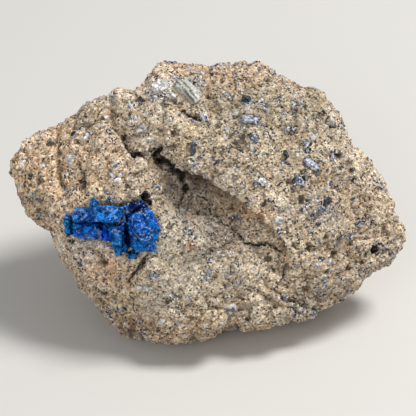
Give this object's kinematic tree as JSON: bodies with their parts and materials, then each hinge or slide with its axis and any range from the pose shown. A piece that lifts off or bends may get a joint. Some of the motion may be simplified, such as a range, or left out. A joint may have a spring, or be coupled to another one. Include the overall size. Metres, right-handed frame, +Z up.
{
  "type": "hauyne on matrix",
  "caption": "Cluster of blue hauyne crystals grown in a piece of porous tan volcanic tuff that also holds sanidine laths and black augite grains.",
  "frame": {"origin": "middle of the bounding box, on the surface that the specimen rests on", "axes": "+X along the specimen's length, to the right as the show face is seen; +Y away from the show face; +Z up"},
  "size_m": [0.036, 0.0208, 0.0221],
  "materials": {
    "tuff": "rough, porous, granular volcanic tuff, dull",
    "hauyne": "deep blue, glassy, etched and partly see-through crystal grains",
    "sanidine": "pale grey-white, glassy feldspar with striations",
    "augite": "black, glossy crystal"
  },
  "bodies": {
    "root": {"augite_01": "augite", "augite_02": "augite", "augite_03": "augite", "augite_04": "augite", "augite_05": "augite", "augite_06": "augite", "augite_07": "augite", "augite_08": "augite", "augite_09": "augite", "augite_10": "augite", "hauyne": "hauyne", "matrix": "tuff", "sanidine_02": "sanidine", "sanidine_03": "sanidine", "sanidine_04": "sanidine", "sanidine_05": "sanidine", "sanidine_06": "sanidine", "sanidine_07": "sanidine", "sanidine_08": "sanidine", "sanidine_09": "sanidine", "sanidine_10": "sanidine", "sanidine_11": "sanidine", "sanidine_12": "sanidine", "sanidine_13": "sanidine", "sanidine_14": "sanidine", "sanidine_15": "sanidine", "sanidine_16": "sanidine", "sanidine_17": "sanidine", "sanidine_18": "sanidine", "sanidine_19": "sanidine", "sanidine_20": "sanidine", "sanidine_21": "sanidine", "sanidine_22": "sanidine", "sanidine_23": "sanidine", "sanidine_24": "sanidine", "sanidine_25": "sanidine", "sanidine_26": "sanidine", "sanidine_plate": "sanidine"}
  },
  "joints": []
}
